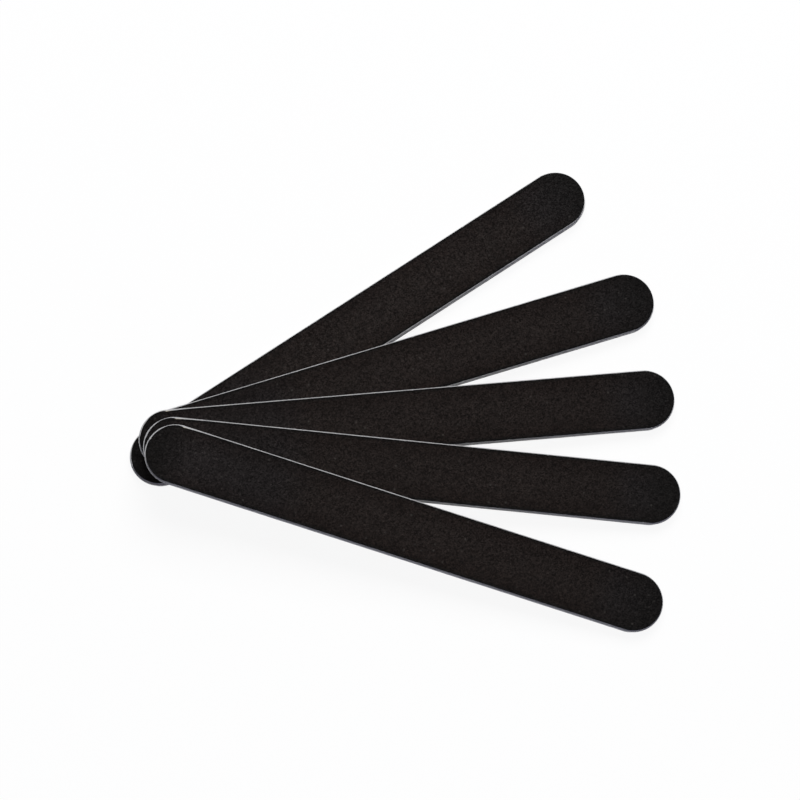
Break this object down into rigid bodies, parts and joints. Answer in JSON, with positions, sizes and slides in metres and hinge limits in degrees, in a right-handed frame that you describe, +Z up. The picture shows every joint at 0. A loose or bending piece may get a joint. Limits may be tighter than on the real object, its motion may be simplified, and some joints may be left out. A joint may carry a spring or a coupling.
{
  "type": "emery board set",
  "caption": "Fan of straight, round-ended emery boards with black grit on both faces and a pale foam core, lying loose on each other and on the table.",
  "frame": {"origin": "on the table, under the centre of the lowest board's left round end, where the heels pile up", "axes": "+Z up from the table, +X to the right along the fan towards the toes, +Y away from the viewer"},
  "size_m": [0.1818, 0.1585, 0.0221],
  "materials": {
    "grit_sheet": "paper coated with fine black grit, matte, with a faint sparkle",
    "glue_film": "thin dried glue, satin",
    "foam_pad": "closed-cell foam, matte, cut side",
    "core_strip": "plain white plastic strip, satin"
  },
  "bodies": {
    "board_1": {"board_1_bottom_grit_sheet": "grit_sheet", "board_1_bottom_sheet_glue": "glue_film", "board_1_lower_foam_pad": "foam_pad", "board_1_lower_core_glue": "glue_film", "board_1_core_strip": "core_strip", "board_1_upper_core_glue": "glue_film", "board_1_upper_foam_pad": "foam_pad", "board_1_top_sheet_glue": "glue_film", "board_1_top_grit_sheet": "grit_sheet"},
    "board_2": {"board_2_bottom_grit_sheet": "grit_sheet", "board_2_bottom_sheet_glue": "glue_film", "board_2_lower_foam_pad": "foam_pad", "board_2_lower_core_glue": "glue_film", "board_2_core_strip": "core_strip", "board_2_upper_core_glue": "glue_film", "board_2_upper_foam_pad": "foam_pad", "board_2_top_sheet_glue": "glue_film", "board_2_top_grit_sheet": "grit_sheet"},
    "board_3": {"board_3_bottom_grit_sheet": "grit_sheet", "board_3_bottom_sheet_glue": "glue_film", "board_3_lower_foam_pad": "foam_pad", "board_3_lower_core_glue": "glue_film", "board_3_core_strip": "core_strip", "board_3_upper_core_glue": "glue_film", "board_3_upper_foam_pad": "foam_pad", "board_3_top_sheet_glue": "glue_film", "board_3_top_grit_sheet": "grit_sheet"},
    "board_4": {"board_4_bottom_grit_sheet": "grit_sheet", "board_4_bottom_sheet_glue": "glue_film", "board_4_lower_foam_pad": "foam_pad", "board_4_lower_core_glue": "glue_film", "board_4_core_strip": "core_strip", "board_4_upper_core_glue": "glue_film", "board_4_upper_foam_pad": "foam_pad", "board_4_top_sheet_glue": "glue_film", "board_4_top_grit_sheet": "grit_sheet"},
    "board_5": {"board_5_bottom_grit_sheet": "grit_sheet", "board_5_bottom_sheet_glue": "glue_film", "board_5_lower_foam_pad": "foam_pad", "board_5_lower_core_glue": "glue_film", "board_5_core_strip": "core_strip", "board_5_upper_core_glue": "glue_film", "board_5_upper_foam_pad": "foam_pad", "board_5_top_sheet_glue": "glue_film", "board_5_top_grit_sheet": "grit_sheet"}
  },
  "joints": [
    {"name": "board_2_lift", "type": "slide", "parent": "board_1", "child": "board_2", "axis": [0, 0, 1], "range_m": [0, 0.03]},
    {"name": "board_3_lift", "type": "slide", "parent": "board_2", "child": "board_3", "axis": [0, 0, 1], "range_m": [0, 0.03]},
    {"name": "board_4_lift", "type": "slide", "parent": "board_3", "child": "board_4", "axis": [0, 0, 1], "range_m": [0, 0.03]},
    {"name": "board_5_lift", "type": "slide", "parent": "board_4", "child": "board_5", "axis": [0, 0, 1], "range_m": [0, 0.03]}
  ]
}
